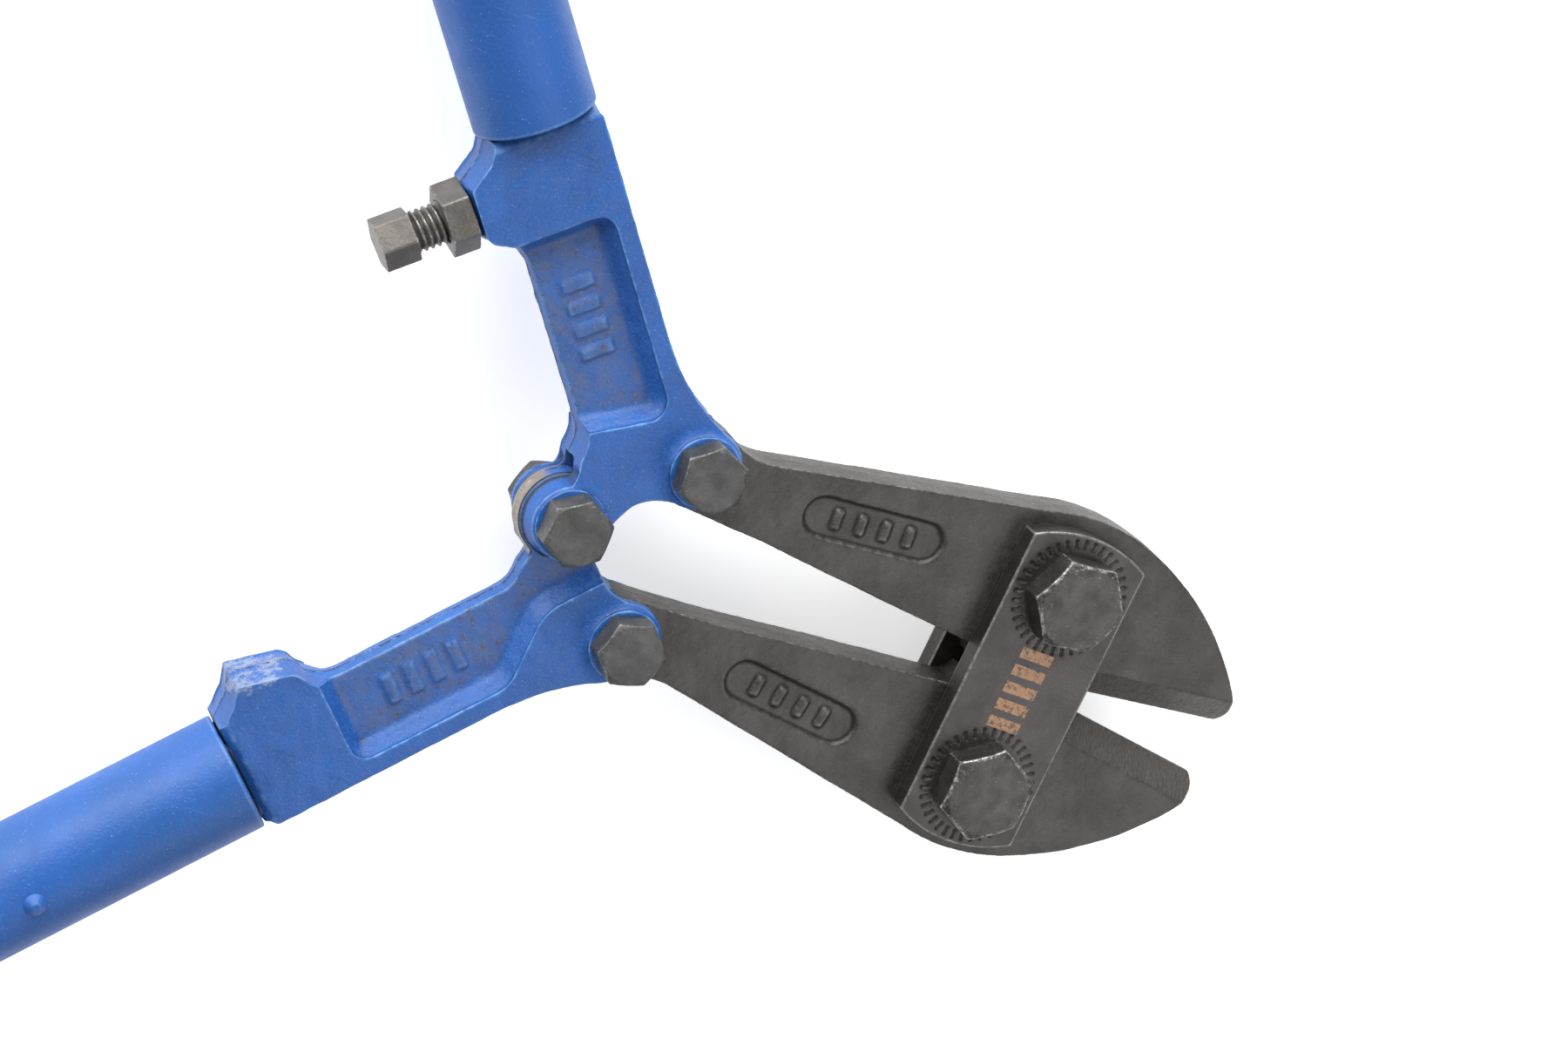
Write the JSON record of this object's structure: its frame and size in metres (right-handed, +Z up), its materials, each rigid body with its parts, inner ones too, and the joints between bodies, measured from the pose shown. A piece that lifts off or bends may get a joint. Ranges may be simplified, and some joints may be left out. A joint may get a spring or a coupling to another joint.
{
  "type": "bolt cutters",
  "caption": "Compound-action bolt cutters lying flat: two pivoting jaws between link plates, toggle handle brackets on round tubes with grips, and an adjustable stop screw.",
  "frame": {"origin": "on the surface the tool lies on, under the middle of its bounding box", "axes": "+X along the line of symmetry towards the jaw tips, +Y towards the handle with the stop screw, +Z up, square to the tool's plane"},
  "size_m": [0.3626, 0.5196, 0.0356],
  "materials": {
    "jaw_steel": "black oxide, satin, with a ground bevel",
    "link_plate_steel": "black oxide, smooth satin",
    "jaw_bolt_steel": "black oxide, edges worn bright",
    "small_bolt_steel": "grey phosphate",
    "stop_screw_steel": "phosphated thread, worn crests",
    "painted_casting": "thick blue paint over a rough casting",
    "painted_tube": "smooth satin blue paint",
    "grip_rubber": "matt moulded rubber"
  },
  "bodies": {
    "head": {"front_link_plate": "link_plate_steel", "rear_link_plate": "link_plate_steel", "upper_jaw_bolt": "jaw_bolt_steel", "lower_jaw_bolt": "jaw_bolt_steel", "upper_jaw_nut": "jaw_bolt_steel", "lower_jaw_nut": "jaw_bolt_steel"},
    "upper_jaw": {"upper_jaw": "jaw_steel"},
    "lower_jaw": {"lower_jaw": "jaw_steel"},
    "upper_handle": {"upper_handle_bracket": "painted_casting", "upper_tube": "painted_tube", "upper_grip": "grip_rubber", "upper_tube_rivet": "painted_tube", "upper_tail_bolt": "small_bolt_steel", "upper_tail_nut": "small_bolt_steel", "hub_bolt": "small_bolt_steel", "hub_nut": "small_bolt_steel", "stop_lock_nut": "small_bolt_steel"},
    "lower_handle": {"lower_handle_bracket": "painted_casting", "lower_tube": "painted_tube", "lower_grip": "grip_rubber", "lower_tube_rivet": "painted_tube", "lower_tail_bolt": "small_bolt_steel", "lower_tail_nut": "small_bolt_steel"},
    "stop_screw": {"stop_screw": "stop_screw_steel"}
  },
  "joints": [
    {"name": "upper_jaw_pivot", "type": "hinge", "parent": "head", "child": "upper_jaw", "pos_m": [0.13189, 0.0205, 0.0194], "axis": [0, 0, 1], "range_deg": [-6.86, 0.68]},
    {"name": "lower_jaw_pivot", "type": "hinge", "parent": "head", "child": "lower_jaw", "pos_m": [0.13189, -0.0205, 0.0194], "axis": [0, 0, 1], "range_deg": [-0.68, 6.86]},
    {"name": "upper_handle_swing", "type": "hinge", "parent": "upper_jaw", "child": "upper_handle", "pos_m": [0.05159, 0.018, 0.0194], "axis": [0, 0, 1], "range_deg": [-4.67, 47.6]},
    {"name": "lower_handle_swing", "type": "hinge", "parent": "lower_jaw", "child": "lower_handle", "pos_m": [0.05159, -0.018, 0.0194], "axis": [0, 0, 1], "range_deg": [-47.6, 4.67]},
    {"name": "stop_screw_travel", "type": "slide", "parent": "upper_handle", "child": "stop_screw", "axis": [-0.7431, -0.6691, 0], "range_m": [-0.003, 0]}
  ],
  "couplings": [
    {"joint": "lower_handle_swing", "follows": "upper_handle_swing", "ratio": -1},
    {"joint": "upper_jaw_pivot", "follows": "upper_handle_swing", "ratio": -0.14384},
    {"joint": "lower_jaw_pivot", "follows": "upper_handle_swing", "ratio": 0.14384}
  ]
}
